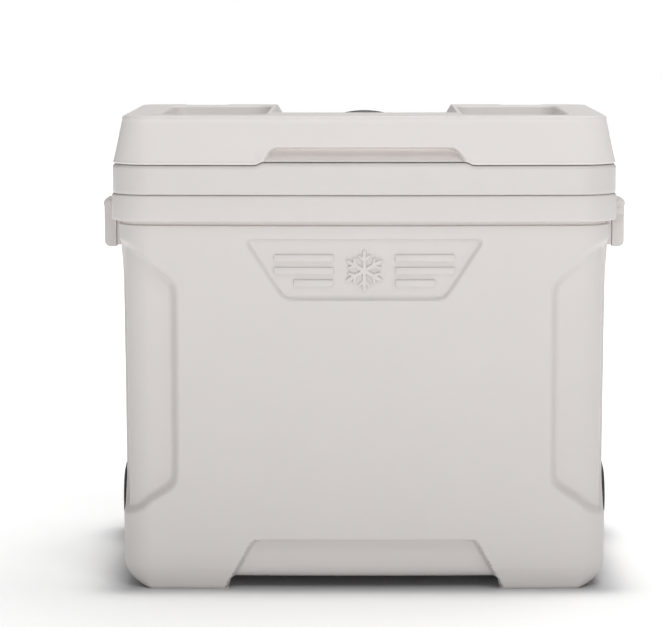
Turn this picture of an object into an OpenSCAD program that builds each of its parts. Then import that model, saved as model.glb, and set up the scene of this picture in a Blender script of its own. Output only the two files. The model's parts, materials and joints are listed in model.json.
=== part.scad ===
// A hard cooler of about 26 litres on two wheels, with a telescoping tow handle behind it,
// a hinged lid with two drink trays, and a folding bail handle on each side.
// The origin is on the floor under the middle of the cooler: +X right, +Y back, +Z up.

/* [Cooler body] */
// Width over the rim
rim_w = 445; // [435:1:455]
// Depth of the rim, front to back
rim_d = 300; // [290:1:315]
// How far the tow handle's housing stands out behind the rim
housing_d = 36; // [34:1:42]
// Height of the rim's underside above the floor
rim_z = 325; // [315:1:335]
// Height of the rim
rim_h = 24; // [20:1:28]
// Height of the liner's flange, the plain band under the lid
band_h = 26; // [22:1:30]
// Radius of the rim's upright corners
corner_r = 34; // [28:1:40]
// How far the rim stands out beyond the top of the body
overhang = 8; // [6:0.5:9]
// How far each side of the body leans in from top to bottom
side_lean = 3; // [2:0.5:5]
// How far the front of the body leans in from top to bottom
front_lean = 3; // [2:0.5:6]
// Thickness of the moulded skins
skin = 3; // [2.5:0.5:3.5]
// Thickness of the insulated wall at the rim
wall = 36; // [32:1:38]
// Height of the floor inside above the ground
floor_z = 50; // [48:1:60]

/* [Body relief] */
// Half distance between the upright edges of the front corner recesses
recess_x = 163; // [155:1:168]
// Depth of a corner recess in the front
recess_front = 6.5; // [4:0.5:7]
// Depth of a corner recess in the side
recess_side = 3.2; // [2:0.2:4]
// Depth of the plain plaque in the front
plaque_depth = 2.5; // [1:0.5:3]

/* [Lid] */
// Height of the lid
lid_h = 42; // [40:0.5:44]
// How far the lid's faces lean in from its bottom edge to its top edge
lid_lean = 8; // [5:0.5:9]
// Depth of the drink trays in the lid
tray_depth = 16; // [12:1:18]

/* [Wheels] */
// Radius of a wheel
wheel_r = 38; // [36:1:42]
// Width of a wheel
wheel_w = 34; // [30:1:36]
// Radius of the steel axle
axle_r = 5; // [4:0.5:6]

/* [Tow handle] */
// Half distance between the handle's two tubes
tube_x = 60; // [56:1:62]
// Outer radius of the fixed outer tubes
outer_tube_r = 11; // [11:0.5:11.5]
// Outer radius of the grip's arch
grip_r = 85; // [83:1:88]

/* [Side handles] */
// Half distance between the middles of a bail's two arms
bail_y = 56; // [50:1:62]
// Drop from a bail's pivot to the middle of its bar
bail_drop = 34; // [31:1:36]

/* [Hidden] */
front_y = -(rim_d + housing_d) / 2;
rear_y = front_y + rim_d;
back_y = rear_y + housing_d;
mid_y = front_y + rim_d / 2;
rim_hw = rim_w / 2;
shell_top = rim_z + rim_h;
band_top = shell_top + band_h;
lid_z = band_top + 0.5;
lid_top = lid_z + lid_h;
gap = 0.3;
ground_gap = 10;
steps = 8;
fn_round = 96;
fn_small = 48;

body_hw = rim_hw - overhang;
body_front = front_y + overhang;
body_back = rear_y - overhang;
far = 300;
foot_x = 124;
foot_slope = 6;
foot_back = -90;
foot_round = 24;
bulge_hw = 212.5;
bulge_low = 20;
bulge_high = 64;
panel_hw = 99;
panel_top = 45;
panel_d = 10;
recess_y = 75;
recess_low = 64;
recess_high = 310;
recess_slope = 28;
plaque_low = 257;
plaque_high = 309;
plaque_hw = 106;
plaque_slope = 35;
lid_wall = 17;

hinge_r = lid_h / 2 - 0.35;
hinge_z = lid_z + lid_h / 2;
hinge_y = rear_y - hinge_r;
hinge_x = 150;
hinge_w = 40;
hinge_pin_r = 2.5;
knuckle_r = 9;
run = 0.05;

tray_in = 92;
tray_out = 180;
tray_front = front_y + 48;
tray_back = hinge_y - 32;
tray_z = lid_top - tray_depth;
well_r = 37;
well_z = tray_z - 9;
notch_hw = 74;
notch_flare = 10;
valley_z = lid_top - 20;
pull_hw = 89;
pull_top_hw = 80;
pull_d = 16;
pull_h = 14;
plug_z = lid_z - 16;
pan_t = 2.2;

wheel_x = 198.5;
wheel_y = 116;
wheel_z = wheel_r;
arch_r = wheel_r + 6;
arch_x = wheel_x - 5;
hub_r = 25;
boss_r = 12;
nut_r = 7.5;
hub_bore = axle_r + run;
channel_r = 9;

tube_y = back_y - 13;
tube_wall = 1.2;
mid_tube_r = outer_tube_r - tube_wall - 0.8;
inner_tube_r = mid_tube_r - tube_wall - 0.8;
housing_hw = 82;
housing_z = 40;
housing_top = 360;
tube_z = housing_z + 8;
channel_hw = tube_x - 18;
channel_top = 318;
hand_z = 330;
web_t = 14;
grip_top = 412;
grip_thick = 27;
grip_z = 378;
grip_centre = grip_top - grip_r;
grip_d = 24;
button_hw = 22;
button_d = 14;
rod_r = 1.5;

bail_x = rim_hw + 5.5;
bail_z = shell_top - 12;
bail_pin_r = 2.5;
ear_r = 5.4;
eye_r = 5.2;
bar_out = 5.4;
bar_in = 3.2;
bar_h = 14;
plate_t = 1.5;
ear_t = 8;
arm_t = 12;

// ---------------------------------------------------------------- shared outlines

function arc(cx, cy, r, a0, sweep = 90) =
    [for (i = [0 : steps]) [cx + r * cos(a0 + sweep * i / steps), cy + r * sin(a0 + sweep * i / steps)]];

// A rectangle in plan, half as wide as hw, with one radius at the front and one at the back.
module plan(hw, y0, y1, r0, r1) {
    polygon(concat(
        arc(hw - r1, y1 - r1, r1, 0),
        arc(-hw + r1, y1 - r1, r1, 90),
        arc(-hw + r0, y0 + r0, r0, 180),
        arc(hw - r0, y0 + r0, r0, 270)));
}

module slab(z, h, hw, y0, y1, r0, r1) {
    translate([0, 0, z]) linear_extrude(h) plan(hw, y0, y1, r0, r1);
}

// A solid whose plan changes from the list a = [z, hw, y0, y1] to the list b, with radius r.
module lean(a, b, r) {
    thin = 0.01;
    hull() {
        slab(a[0], thin, a[1], a[2], a[3], r, r);
        slab(b[0] - thin, thin, b[1], b[2], b[3], r, r);
    }
}

// An outline in X and Z, carried from y0 back to y1.
module along_y(y0, y1) {
    translate([0, y1, 0]) rotate([90, 0, 0]) linear_extrude(y1 - y0) children();
}

// An outline in Y and Z, carried from x0 to x1.
module along_x(x0, x1) {
    translate([x0, 0, 0]) rotate([90, 0, 90]) linear_extrude(x1 - x0) children();
}

module rod_x(x0, x1, y, z, r, fn = fn_small) {
    translate([x0, y, z]) rotate([0, 90, 0]) cylinder(h = x1 - x0, r = r, $fn = fn);
}

module rod_y(y0, y1, x, z, r, fn = fn_small) {
    translate([x, y0, z]) rotate([-90, 0, 0]) cylinder(h = y1 - y0, r = r, $fn = fn);
}

module rod_z(x, y, z0, z1, r, fn = fn_small) {
    translate([x, y, z0]) cylinder(h = z1 - z0, r = r, $fn = fn);
}

// Both signs of x for the child's own left-hand shape.
module both_sides() {
    children();
    mirror([1, 0, 0]) children();
}

// ---------------------------------------------------------------- body

// The leaning tub with its four corner recesses, moved inwards by t.
module tub(t) {
    top = shell_top + (t > 0 ? 1 : 0);
    difference() {
        lean([t, body_hw - side_lean - t, body_front + front_lean + t, body_back - 2 - t],
             [top, body_hw - t, body_front + t, body_back - t], corner_r - overhang - min(t, 6));
        difference() {
            corner_posts(t);
            lean([-5, body_hw - side_lean - recess_side - t, body_front + front_lean + recess_front + t,
                  body_back - 2 - recess_side - t],
                 [top + 5, body_hw - recess_side - t, body_front + recess_front + t,
                  body_back - recess_side - t], corner_r - overhang - min(t, 6));
        }
    }
}

// Where the corner recesses are: a post at each corner with slanting ends.
module corner_posts(t) {
    low = recess_low - t;
    high = recess_high + t;
    slope = recess_slope;
    intersection() {
        along_y(-far, far) both_sides()
            polygon([[recess_x - t, low + slope], [recess_x - t, high - slope - 8],
                     [body_hw, high], [far, high], [far, low], [body_hw - side_lean, low]]);
        along_x(-far, far) translate([mid_y, 0]) both_sides()
            polygon([[recess_y - t, low + slope], [recess_y - t, high - slope - 8],
                     [recess_y + slope, high], [far, high], [far, low], [recess_y + slope, low]]);
    }
}

// The body's outline from the front: a foot at each side and the gap between them.
module front_outline() {
    both_sides() polygon(concat(
        [[0, far + 100], [0, ground_gap], [foot_x - foot_slope, ground_gap], [foot_x, 0]],
        arc(bulge_hw - foot_round, foot_round, foot_round, 270),
        [[bulge_hw, bulge_high], [far, bulge_high], [far, far + 100]]));
}

// Room for one wheel, moved outwards from its surfaces by t.
module wheel_room(t = 0) {
    x0 = arch_x - t;
    rod_x(x0, 260, wheel_y, wheel_z, arch_r + t, fn_round);
    translate([x0, wheel_y - arch_r - t, -5]) cube([60, 200, wheel_z + 5]);
    translate([x0, wheel_y, -5]) cube([60, 100, wheel_z + arch_r + 5 + t]);
}

// The channel under the back edge that the axle lies in, moved outwards by t.
module axle_channel(t = 0) {
    translate([-arch_x - 1, wheel_y - channel_r - t, -5])
        cube([2 * arch_x + 2, 100, wheel_z + channel_r + 5 + t]);
}

module body_bulge() {
    slab(bulge_low, bulge_high - bulge_low, bulge_hw, body_front + front_lean - 3, body_back - 1,
         corner_r - overhang, corner_r - overhang);
}

// The room that the shell keeps free behind the front panel, t deep.
module panel_zone(t) {
    along_y(front_y, body_front + panel_d + t)
        polygon([[-foot_x - t, 0], [-panel_hw - t, panel_top + t + 1],
                 [panel_hw + t, panel_top + t + 1], [foot_x + t, 0]]);
}

module front_panel() {
    along_y(front_y - 1, body_front + panel_d)
        polygon([[-foot_x, -1], [-foot_x + foot_slope, ground_gap], [-panel_hw, panel_top],
                 [panel_hw, panel_top], [foot_x - foot_slope, ground_gap], [foot_x, -1]]);
}

module outer_shell() {
    color("whitesmoke") difference() {
        union() {
            intersection() {
                union() {
                    tub(0);
                    body_bulge();
                }
                along_y(front_y, rear_y) front_outline();
            }
            slab(rim_z, rim_h, rim_hw, front_y, rear_y, corner_r, corner_r);
        }
        difference() {
            tub(skin);
            translate([-far, -far, -1]) cube([2 * far, 2 * far, ground_gap + skin + 1]);
            both_sides() wheel_room(skin);
            axle_channel(skin);
            panel_zone(skin);
        }
        both_sides() wheel_room();
        axle_channel();
        front_panel();
        along_y(front_y, body_front + plaque_depth + 0.6)
            polygon([[-plaque_hw + plaque_slope, plaque_low], [-plaque_hw, plaque_high],
                     [plaque_hw, plaque_high], [plaque_hw - plaque_slope, plaque_low]]);
        translate([-far, foot_back, -1]) cube([2 * far, 400, ground_gap + 1]);
    }
}

// The space inside the cooler, moved outwards by t.
module inside(t) {
    in_hw = rim_hw - wall;
    lean([floor_z - t, in_hw - 6 + t, front_y + wall + 6 - t, rear_y - wall - 6 + t],
         [band_top + (t > 0 ? 0 : 1), in_hw + t, front_y + wall - t, rear_y - wall + t], 22 + t);
}

module band(t, z0, z1) {
    slab(z0, z1 - z0, rim_hw - 0.9 - t, front_y + 1 + t, rear_y - 1 - t, corner_r - t, corner_r - t);
}

module inner_liner() {
    color("white") difference() {
        union() {
            difference() {
                band(0, shell_top, band_top);
                band(skin, shell_top - 1, band_top - skin);
            }
            inside(skin);
        }
        inside(0);
    }
}

module body_foam() {
    color("khaki") difference() {
        union() {
            tub(skin + gap);
            band(skin + gap, shell_top, band_top - skin - gap);
        }
        translate([-far, -far, -1]) cube([2 * far, 2 * far, ground_gap + skin + gap + 1]);
        both_sides() wheel_room(skin + gap);
        axle_channel(skin + gap);
        panel_zone(skin + gap);
        inside(skin + gap);
        translate([-far, -far, band_top - skin - gap]) cube([2 * far, 2 * far, 20]);
    }
}

// ---------------------------------------------------------------- lid

module lid_form(t) {
    hull() {
        slab(lid_z + t, 0.01, rim_hw - 2 - t, front_y + 2 + t, hinge_y,
             corner_r - t, 2);
        slab(lid_top - 0.01 - t, 0.01, rim_hw - 2 - lid_lean - t, front_y + 2 + lid_lean + t, hinge_y,
             corner_r - t, 2);
    }
    rod_x(-rim_hw + 12 + t, rim_hw - 12 - t, hinge_y, hinge_z, hinge_r - t, fn_round);
}

// The trays, their cup wells, the valley, the notch round the tow grip and the front pull.
module lid_hollows(t) {
    both_sides() {
        translate([0, 0, tray_z - t]) linear_extrude(60) translate([(tray_in + tray_out) / 2, 0])
            plan((tray_out - tray_in) / 2 + t, tray_front - t, tray_back + t, 14, 14);
        for (y = [tray_front + well_r + 8, tray_back - well_r - 8])
            rod_z((tray_in + tray_out) / 2, y, well_z - t, lid_top + 1, well_r + t, fn_round);
    }
    intersection() {
        along_x(-far, far)
            polygon([[front_y + 92 - t, lid_top + 1], [front_y + 122 - t, valley_z - t],
                     [hinge_y + 60, valley_z - t], [hinge_y + 60, lid_top + 1]]);
        along_y(front_y, rear_y + 60) notch_outline(t);
    }
    along_y(hinge_y - 14 - t, rear_y + 10) notch_outline(t);
    along_y(front_y - 1, front_y + pull_d + t)
        polygon([[-pull_hw - t, lid_z - 1], [-pull_top_hw - t, lid_z + pull_h + t],
                 [pull_top_hw + t, lid_z + pull_h + t], [pull_hw + t, lid_z - 1]]);
}

// The notch from the front: straight below, and flared towards the lid's top.
module notch_outline(t) {
    polygon([[-notch_hw - t, far], [-notch_hw - t, lid_top - 18], [-notch_hw - notch_flare - t, lid_top + 1],
             [notch_hw + notch_flare + t, lid_top + 1], [notch_hw + t, lid_top - 18], [notch_hw + t, far]]);
}

// The slots in the lid's rounded back edge for the two hinge brackets.
module hinge_slots(t) {
    both_sides() translate([-hinge_x - hinge_w / 2 - t, hinge_y - 14 - t, far])
        cube([hinge_w + 2 * t, 60, 200]);
}

module lid_shell() {
    color("whitesmoke") difference() {
        lid_form(0);
        lid_hollows(0);
        hinge_slots(0);
        difference() {
            intersection() {
                lid_form(skin);
                translate([-far, -far, 0]) cube([2 * far, far + hinge_y - lid_wall, 600]);
            }
            lid_hollows(skin);
        }
        translate([0, 0, lid_z - 1]) linear_extrude(skin + 1.1)
            plan(rim_hw - 5.5, front_y + pull_d + 6, hinge_y - lid_wall, corner_r - 4, 4);
        for (side = [-1, 1])
            rod_x(side * hinge_x - hinge_w / 2 - 12, side * hinge_x + hinge_w / 2 + 12,
                  hinge_y, hinge_z, hinge_pin_r + run);
    }
}

// The plug that hangs into the cooler's mouth, moved inwards by t.
module lid_plug(t, top) {
    slab(plug_z + t, top - plug_z - t, rim_hw - wall - 4.5 - t, front_y + wall + 5 + t,
         rear_y - wall - 5 - t, 18 - t, 18 - t);
}

module lid_liner() {
    color("white") difference() {
        union() {
            slab(lid_z, pan_t, rim_hw - 6, front_y + pull_d + 7, hinge_y - lid_wall - 1, corner_r - 5, 4);
            lid_plug(0, lid_z);
        }
        lid_plug(skin, lid_z + pan_t + 1);
    }
}

module lid_foam() {
    color("khaki") union() {
        difference() {
            intersection() {
                lid_form(skin + gap);
                translate([-far, -far, 0]) cube([2 * far, far + hinge_y - lid_wall - gap, 500]);
            }
            lid_hollows(skin + gap);
        }
        lid_plug(skin + gap, lid_z + skin + gap + 1);
    }
}

// ---------------------------------------------------------------- lid hinges

module hinge_bracket(side) {
    w = hinge_w - 3;
    foot_t = 4;
    translate([side * hinge_x, 0, 0]) difference() {
        union() {
            rod_x(-w / 2, w / 2, hinge_y, hinge_z, knuckle_r, fn_round);
            translate([-w / 2, hinge_y - knuckle_r, band_top]) cube([w, 2 * knuckle_r, hinge_z - band_top]);
        }
        rod_x(-w, w, hinge_y, hinge_z, hinge_pin_r);
    }
    translate([side * hinge_x - w / 2, rear_y - 1, shell_top + 1])
        cube([w, foot_t, band_h - 1]);
    translate([side * hinge_x - w / 2, hinge_y, band_top]) cube([w, rear_y - 1 + foot_t - hinge_y, 1.4]);
}

module hinge_pin(side) {
    rod_x(side * hinge_x - hinge_w / 2 - 11, side * hinge_x + hinge_w / 2 + 11,
          hinge_y, hinge_z, hinge_pin_r);
}

module hinge_bracket_left() { color("whitesmoke") hinge_bracket(-1); }
module hinge_bracket_right() { color("whitesmoke") hinge_bracket(1); }
module hinge_pin_left() { color("silver") hinge_pin(-1); }
module hinge_pin_right() { color("silver") hinge_pin(1); }

// ---------------------------------------------------------------- tow handle

module handle_housing() {
    color("whitesmoke") difference() {
        translate([0, 0, housing_z]) linear_extrude(housing_top - housing_z)
            plan(housing_hw, body_back, back_y, 1, 10);
        translate([-far, 0, housing_z - 1]) cube([2 * far, body_back + gap, 400]);
        translate([-far, 0, rim_z - gap]) cube([2 * far, rear_y + gap, 100]);
        for (side = [-1, 1])
            rod_z(side * tube_x, tube_y, tube_z, housing_top + 1, outer_tube_r + 0.02);
        translate([-channel_hw, body_back + web_t, housing_z - 1])
            cube([2 * channel_hw, 60, channel_top - housing_z + 1]);
        translate([-channel_hw, rear_y, hand_z]) cube([2 * channel_hw, 60, 60]);
        for (x = [-housing_hw + 8, housing_hw - 8], z = [housing_z + 25, housing_top - 25])
            rod_y(body_back, back_y + 1, x, z, 3);
    }
}

module housing_screws() {
    color("silver") for (x = [-housing_hw + 8, housing_hw - 8], z = [housing_z + 25, housing_top - 25])
        union() {
            rod_y(rear_y + gap, back_y - 4, x, z, 2);
            rod_y(back_y - 6, back_y - 3, x, z, 2.9);
        }
}

module tube(side, r, z0, z1) {
    difference() {
        rod_z(side * tube_x, tube_y, z0, z1, r);
        rod_z(side * tube_x, tube_y, z0 - 1, z1 + 1, r - tube_wall);
    }
}

module outer_tube(side) { tube(side, outer_tube_r, tube_z, housing_top + 2); }
module outer_tube_left() { color("silver") outer_tube(-1); }
module outer_tube_right() { color("silver") outer_tube(1); }

module mid_tube(side) { tube(side, mid_tube_r, tube_z + 4, housing_top + 8); }
module mid_tube_left() { color("silver") mid_tube(-1); }
module mid_tube_right() { color("silver") mid_tube(1); }

// The collar round the top of a middle tube, which stops it in the outer tube's mouth.
module mid_collar(side) {
    difference() {
        rod_z(side * tube_x, tube_y, housing_top + 2.4, housing_top + 14, outer_tube_r);
        rod_z(side * tube_x, tube_y, housing_top, housing_top + 20, mid_tube_r);
    }
}
module mid_collar_left() { color("dimgray") mid_collar(-1); }
module mid_collar_right() { color("dimgray") mid_collar(1); }

module inner_tube(side) { tube(side, inner_tube_r, tube_z + 8, grip_z + 8); }
module inner_tube_left() { color("silver") inner_tube(-1); }
module inner_tube_right() { color("silver") inner_tube(1); }

// The grip's outline from the front: an arch between the two tubes.
module grip_outline() {
    foot = tube_x + 11;
    intersection() {
        difference() {
            translate([0, grip_centre]) circle(r = grip_r, $fn = 180);
            translate([0, grip_centre]) circle(r = grip_r - grip_thick, $fn = 180);
        }
        translate([-foot, grip_z - 3]) square([2 * foot, 60]);
    }
}

module grip_half(y0, y1) {
    difference() {
        along_y(y0, y1) grip_outline();
        for (side = [-1, 1])
            rod_z(side * tube_x, tube_y, grip_z - 10, grip_z + 8.2, inner_tube_r + 0.02);
        translate([-button_hw - gap, tube_y - button_d / 2 - gap, grip_top - grip_thick - 6])
            cube([2 * button_hw + 2 * gap, button_d + 2 * gap, 20]);
        for (x = [-40, 40])
            rod_y(tube_y - grip_d / 2 + 3, tube_y + grip_d, x, grip_z + 12, 1.7);
    }
}

module grip_front() { color("dimgray") grip_half(tube_y - grip_d / 2, tube_y); }
module grip_back() { color("dimgray") grip_half(tube_y, tube_y + grip_d / 2); }

module grip_screws() {
    color("silver") for (x = [-40, 40])
        rod_y(tube_y - grip_d / 2 + 3.2, tube_y + grip_d / 2 - 1, x, grip_z + 12, 1.65);
}

module release_button() {
    z = grip_top - grip_thick;
    color("black") translate([-button_hw, tube_y - button_d / 2, z - 5]) cube([2 * button_hw, button_d, 10]);
}

// The steel rod along the button's top, which pulls the two tubes' locks.
module release_rod() {
    color("silver") rod_x(-button_hw + 3, button_hw - 3, tube_y, grip_top - grip_thick + 5 + rod_r, rod_r);
}

// ---------------------------------------------------------------- wheels

module axle() {
    reach = wheel_x + wheel_w - 3;
    color("silver") rod_x(-reach, reach, wheel_y, wheel_z, axle_r);
}

// A block under the body that holds the axle beside the wheel.
module axle_bracket(side) {
    w = 16;
    translate([side * (arch_x - 14) - w / 2, 0, 0]) difference() {
        translate([0, wheel_y - channel_r + 1, wheel_z - channel_r])
            cube([w, 2 * channel_r - 2, 2 * channel_r]);
        rod_x(-1, w + 1, wheel_y, wheel_z, axle_r);
    }
}
module axle_bracket_left() { color("white") axle_bracket(-1); }
module axle_bracket_right() { color("white") axle_bracket(1); }

module axle_nut(side) {
    x0 = wheel_x + wheel_w - 8;
    translate([side * x0, 0, 0]) mirror([side < 0 ? 1 : 0, 0, 0]) difference() {
        union() {
            rod_x(0.4, 2, wheel_y, wheel_z, nut_r + 2.5);
            rod_x(2, 6.5, wheel_y, wheel_z, nut_r);
        }
        rod_x(-2, 5.05, wheel_y, wheel_z, axle_r);
    }
}
module axle_nut_left() { color("silver") axle_nut(-1); }
module axle_nut_right() { color("silver") axle_nut(1); }

module tyre(side) {
    half = wheel_w / 2;
    translate([side * (wheel_x + half), wheel_y, wheel_z]) rotate([0, 90, 0])
        rotate_extrude($fn = fn_round) polygon(concat(
            [[hub_r, -half + 2]],
            arc(wheel_r - 6, -half + 6, 6, 270),
            arc(wheel_r - 6, half - 6, 6, 0),
            [[hub_r, half - 2]]));
}
module tyre_left() { color("black") tyre(-1); }
module tyre_right() { color("black") tyre(1); }

module wheel_hub(side) {
    half = wheel_w / 2;
    translate([side * (wheel_x + half), wheel_y, wheel_z]) mirror([side < 0 ? 1 : 0, 0, 0])
        rotate([0, 90, 0]) rotate_extrude($fn = fn_round) polygon([
            [hub_bore, -half + 1], [boss_r, -half + 1], [boss_r, 0], [hub_r - 4, 0], [hub_r - 4, -half + 2],
            [hub_r, -half + 2], [hub_r, half - 2], [hub_r - 4, half - 2], [hub_r - 5, 4],
            [boss_r, 4], [boss_r, half - 8], [hub_bore, half - 8]]);
}
module wheel_hub_left() { color("black") wheel_hub(-1); }
module wheel_hub_right() { color("black") wheel_hub(1); }

// ---------------------------------------------------------------- side handles

// The plate on the rim's side with an ear at each end of the bail.
module bail_mount(side) {
    ear_in = bail_y + arm_t / 2 + 0.6;
    plate_z = rim_z + 2;
    difference() {
        union() {
            translate([rim_hw, mid_y - ear_in - ear_t, plate_z])
                cube([plate_t, 2 * (ear_in + ear_t), bail_z - ear_r - plate_z]);
            for (end = [-1, 1]) {
                y0 = mid_y + end * (ear_in + ear_t / 2) - ear_t / 2;
                rod_y(y0, y0 + ear_t, bail_x, bail_z, ear_r);
                translate([rim_hw, y0, plate_z]) cube([bail_x + 4 - rim_hw, ear_t, bail_z - plate_z]);
            }
        }
        rod_y(mid_y - far, mid_y + far, bail_x, bail_z, bail_pin_r);
    }
}
module bail_mount_right() { color("whitesmoke") bail_mount(1); }
module bail_mount_left() { color("whitesmoke") mirror([1, 0, 0]) bail_mount(1); }

module bail() {
    bar_z = bail_z - bail_drop;
    x0 = bail_x - bar_in;
    bar_w = bar_in + bar_out;
    difference() {
        union() {
            for (end = [-1, 1]) {
                y0 = mid_y + end * bail_y - arm_t / 2;
                rod_y(y0, y0 + arm_t, bail_x, bail_z, eye_r);
                translate([x0, y0, bar_z]) cube([bar_w, arm_t, bail_drop]);
            }
            translate([x0, mid_y - bail_y - arm_t / 2, bar_z - bar_h / 2])
                cube([bar_w, 2 * bail_y + arm_t, bar_h]);
        }
        rod_y(mid_y - far, mid_y + far, bail_x, bail_z, bail_pin_r + run);
    }
}
module bail_right() { color("whitesmoke") bail(); }
module bail_left() { color("whitesmoke") mirror([1, 0, 0]) bail(); }

module bail_pins() {
    reach = bail_y + arm_t / 2 + ear_t;
    half = 8.5;
    for (end = [-1, 1])
        rod_y(mid_y + end * (reach - half) - half, mid_y + end * (reach - half) + half,
              bail_x, bail_z, bail_pin_r);
}
module bail_pins_right() { color("silver") bail_pins(); }
module bail_pins_left() { color("silver") mirror([1, 0, 0]) bail_pins(); }

outer_shell();
inner_liner();
body_foam();
lid_shell();
lid_liner();
lid_foam();
hinge_bracket_left();
hinge_bracket_right();
hinge_pin_left();
hinge_pin_right();
handle_housing();
housing_screws();
outer_tube_left();
outer_tube_right();
mid_tube_left();
mid_tube_right();
mid_collar_left();
mid_collar_right();
inner_tube_left();
inner_tube_right();
grip_front();
grip_back();
grip_screws();
release_button();
release_rod();
axle();
axle_bracket_left();
axle_bracket_right();
axle_nut_left();
axle_nut_right();
tyre_left();
tyre_right();
wheel_hub_left();
wheel_hub_right();
bail_mount_left();
bail_mount_right();
bail_left();
bail_right();
bail_pins_left();
bail_pins_right();
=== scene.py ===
import json
import math
import bpy
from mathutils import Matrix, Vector


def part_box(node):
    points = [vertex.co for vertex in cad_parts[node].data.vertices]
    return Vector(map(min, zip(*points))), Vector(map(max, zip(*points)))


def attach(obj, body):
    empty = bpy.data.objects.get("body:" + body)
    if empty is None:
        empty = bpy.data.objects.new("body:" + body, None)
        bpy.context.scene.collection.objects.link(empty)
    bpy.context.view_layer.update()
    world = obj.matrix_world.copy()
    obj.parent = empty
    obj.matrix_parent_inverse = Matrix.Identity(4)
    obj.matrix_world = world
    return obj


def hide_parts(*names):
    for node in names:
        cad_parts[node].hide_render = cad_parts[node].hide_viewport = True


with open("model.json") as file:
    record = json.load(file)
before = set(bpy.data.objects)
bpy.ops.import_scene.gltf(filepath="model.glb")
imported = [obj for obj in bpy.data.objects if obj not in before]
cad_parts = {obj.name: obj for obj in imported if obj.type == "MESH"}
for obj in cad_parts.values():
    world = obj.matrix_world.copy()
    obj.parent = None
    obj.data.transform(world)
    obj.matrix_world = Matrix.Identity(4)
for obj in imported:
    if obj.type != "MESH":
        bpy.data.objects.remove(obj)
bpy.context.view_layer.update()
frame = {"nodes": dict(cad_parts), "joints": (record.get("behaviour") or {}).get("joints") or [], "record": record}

MM = 0.001

# ------------------------------------------------------------------ driving sizes, in millimetres
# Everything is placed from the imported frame's own boxes: the rim's width, depth and heights,
# the lid's hinge line, the wheels, the tow handle and the two side bails.


def span(node, axis):
    """The lowest and highest place of a CAD node along X, Y or Z (0, 1, 2), in millimetres."""
    low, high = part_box(node)
    return low[axis] / MM, high[axis] / MM


def hinge(name):
    """A hinge's place, in millimetres."""
    joint = next(j for j in frame["joints"] if j["name"] == name)
    return [p / MM for p in joint["pos_m"]]


RIM_HALF = span("outer_shell", 0)[1]
FRONT, REAR = span("outer_shell", 1)
RIM_TOP = span("outer_shell", 2)[1]
RIM_HEIGHT = 24
RIM_BOTTOM = RIM_TOP - RIM_HEIGHT
BAND_TOP = span("inner_liner", 2)[1]
LID_BOTTOM, LID_TOP = span("lid_shell", 2)
MIDDLE = (FRONT + REAR) / 2
CORNER = 34
# The front bows forward in its middle by this much, and the bow fades out this far towards the back.
BOW, BOW_REACH = 7, 130
OVERHANG = 6
HINGE_Y, HINGE_Z = hinge("lid_hinge")[1:]
WALL = 36
INSIDE_FLOOR = 50

# ------------------------------------------------------------------ small tools


def deselect():
    if bpy.context.object and bpy.context.object.mode != "OBJECT":
        bpy.ops.object.mode_set(mode="OBJECT")
    bpy.ops.object.select_all(action="DESELECT")


def active(piece):
    deselect()
    piece.select_set(True)
    bpy.context.view_layer.objects.active = piece


def named(name):
    """Names the piece that an operator has just made, and applies its place to its mesh."""
    piece = bpy.context.object
    piece.name = piece.data.name = name
    bpy.ops.object.transform_apply(location=True, rotation=True, scale=True)
    return piece


def edit(piece):
    """Opens the piece in edit mode, as the only one selected."""
    active(piece)
    bpy.ops.object.mode_set(mode="EDIT")


def pick(piece, kind, test):
    """In edit mode, selects the verts, edges or faces whose place in millimetres (and normal) passes."""
    bpy.ops.object.mode_set(mode="OBJECT")
    mesh = piece.data
    for group in (mesh.vertices, mesh.edges, mesh.polygons):
        group.foreach_set("select", [False] * len(group))
    for item in getattr(mesh, kind):
        if kind == "vertices":
            ok = test(item.co / MM)
        elif kind == "edges":
            a, b = (mesh.vertices[i].co / MM for i in item.vertices)
            ok = test(a, b)
        else:
            ok = test(item.center / MM, item.normal)
        item.select = ok
    mode = {"vertices": "VERT", "edges": "EDGE", "polygons": "FACE"}[kind]
    bpy.ops.object.mode_set(mode="EDIT")
    bpy.ops.mesh.select_mode(type=mode)


def stop_editing():
    bpy.ops.object.mode_set(mode="OBJECT")


def modify(piece, kind, **settings):
    """Adds a modifier with its settings and applies it."""
    active(piece)
    modifier = piece.modifiers.new(kind.lower(), kind)
    for key, value in settings.items():
        setattr(modifier, key, value)
    bpy.ops.object.modifier_apply(modifier=modifier.name)


def cut(piece, cutter):
    """Takes the cutter's shape out of the piece."""
    combine(piece, cutter, "DIFFERENCE")


def combine(piece, other, operation):
    """Joins the other's shape to the piece or takes it out of it, and removes the other."""
    count = len(piece.data.polygons)
    modify(piece, "BOOLEAN", operation=operation, solver="MANIFOLD", object=other)
    if len(piece.data.polygons) == count:
        print("NOTE: the", other.name, "did nothing to", piece.name)
    bpy.data.objects.remove(other, do_unlink=True)


def smooth(piece, angle=40):
    """Shades the piece smooth, apart from edges sharper than the angle."""
    active(piece)
    bpy.ops.object.shade_smooth_by_angle(angle=math.radians(angle))


def box(name, x, y, z, bevel=0, segments=3):
    """A block between the pairs x, y and z, with its edges rounded by bevel."""
    deselect()
    middle = [sum(pair) / 2 * MM for pair in (x, y, z)]
    size = [abs(pair[1] - pair[0]) * MM for pair in (x, y, z)]
    bpy.ops.mesh.primitive_cube_add(size=1, location=middle, scale=size)
    piece = named(name)
    if bevel:
        edit(piece)
        bpy.ops.mesh.select_all(action="SELECT")
        bpy.ops.mesh.bevel(offset=bevel * MM, segments=segments, affect="EDGES")
        stop_editing()
    return piece


def ease(value, low, high):
    """0 below low, 1 above high, and a soft S between them."""
    t = min(1, max(0, (value - low) / (high - low)))
    return t * t * (3 - 2 * t)


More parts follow.
